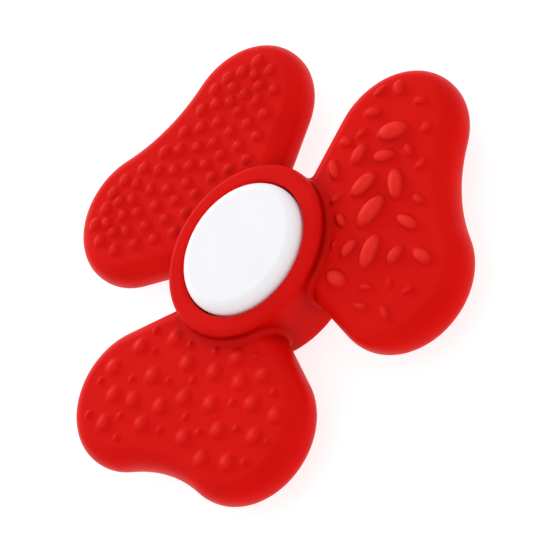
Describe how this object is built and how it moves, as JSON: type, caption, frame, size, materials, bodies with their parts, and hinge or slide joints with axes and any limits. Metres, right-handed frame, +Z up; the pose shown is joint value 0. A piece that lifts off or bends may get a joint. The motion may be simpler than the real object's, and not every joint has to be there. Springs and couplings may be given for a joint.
{
  "type": "hand spinner",
  "caption": "Hand spinner with textured rubber lobes around a ball bearing hub, held between white finger caps.",
  "frame": {"origin": "centre of the rear finger cap's outer face, which the spinner lies on", "axes": "+Z up the spin axis from the rear cap to the front cap; +Y along the lobe with the cones"},
  "size_m": [0.0818, 0.0741, 0.0135],
  "materials": {
    "red_rubber": "soft matte moulded silicone rubber",
    "white_plastic": "satin white moulded plastic",
    "carrier_plastic": "plain moulded plastic",
    "race_steel": "ground bearing steel",
    "ball_steel": "polished bearing steel",
    "cage_steel": "pressed sheet steel",
    "shield_steel": "pressed sheet steel"
  },
  "bodies": {
    "holder": {"front_cap": "white_plastic", "rear_cap": "white_plastic", "inner_race": "race_steel"},
    "rotor": {"spinner_body": "red_rubber", "bearing_carrier": "carrier_plastic", "outer_race": "race_steel", "shield_front": "shield_steel", "shield_rear": "shield_steel", "snap_ring_front": "shield_steel", "snap_ring_rear": "shield_steel"},
    "ball_cage": {"cage_front": "cage_steel", "cage_rear": "cage_steel", "cage_rivets": "cage_steel"},
    "ball_1_roll": {"ball_1": "ball_steel"},
    "ball_2_roll": {"ball_2": "ball_steel"},
    "ball_3_roll": {"ball_3": "ball_steel"},
    "ball_4_roll": {"ball_4": "ball_steel"},
    "ball_5_roll": {"ball_5": "ball_steel"},
    "ball_6_roll": {"ball_6": "ball_steel"},
    "ball_7_roll": {"ball_7": "ball_steel"}
  },
  "joints": [
    {"name": "body_spin", "type": "hinge", "parent": "holder", "child": "rotor", "pos_m": [0, 0, 0.00675], "axis": [0, 0, 1], "continuous": true},
    {"name": "cage_spin", "type": "hinge", "parent": "holder", "child": "ball_cage", "pos_m": [0, 0, 0.00675], "axis": [0, 0, 1], "continuous": true},
    {"name": "ball_1_spin", "type": "hinge", "parent": "ball_cage", "child": "ball_1_roll", "pos_m": [0.0075, 0, 0.00675], "axis": [0, 0, 1], "continuous": true},
    {"name": "ball_2_spin", "type": "hinge", "parent": "ball_cage", "child": "ball_2_roll", "pos_m": [0.00468, 0.00586, 0.00675], "axis": [0, 0, 1], "continuous": true},
    {"name": "ball_3_spin", "type": "hinge", "parent": "ball_cage", "child": "ball_3_roll", "pos_m": [-0.00167, 0.00731, 0.00675], "axis": [0, 0, 1], "continuous": true},
    {"name": "ball_4_spin", "type": "hinge", "parent": "ball_cage", "child": "ball_4_roll", "pos_m": [-0.00676, 0.00325, 0.00675], "axis": [0, 0, 1], "continuous": true},
    {"name": "ball_5_spin", "type": "hinge", "parent": "ball_cage", "child": "ball_5_roll", "pos_m": [-0.00676, -0.00325, 0.00675], "axis": [0, 0, 1], "continuous": true},
    {"name": "ball_6_spin", "type": "hinge", "parent": "ball_cage", "child": "ball_6_roll", "pos_m": [-0.00167, -0.00731, 0.00675], "axis": [0, 0, 1], "continuous": true},
    {"name": "ball_7_spin", "type": "hinge", "parent": "ball_cage", "child": "ball_7_roll", "pos_m": [0.00468, -0.00586, 0.00675], "axis": [0, 0, 1], "continuous": true}
  ],
  "couplings": [
    {"joint": "cage_spin", "follows": "body_spin", "ratio": 0.6323},
    {"joint": "ball_1_spin", "follows": "body_spin", "ratio": 1.7573},
    {"joint": "ball_2_spin", "follows": "body_spin", "ratio": 1.7573},
    {"joint": "ball_3_spin", "follows": "body_spin", "ratio": 1.7573},
    {"joint": "ball_4_spin", "follows": "body_spin", "ratio": 1.7573},
    {"joint": "ball_5_spin", "follows": "body_spin", "ratio": 1.7573},
    {"joint": "ball_6_spin", "follows": "body_spin", "ratio": 1.7573},
    {"joint": "ball_7_spin", "follows": "body_spin", "ratio": 1.7573}
  ]
}
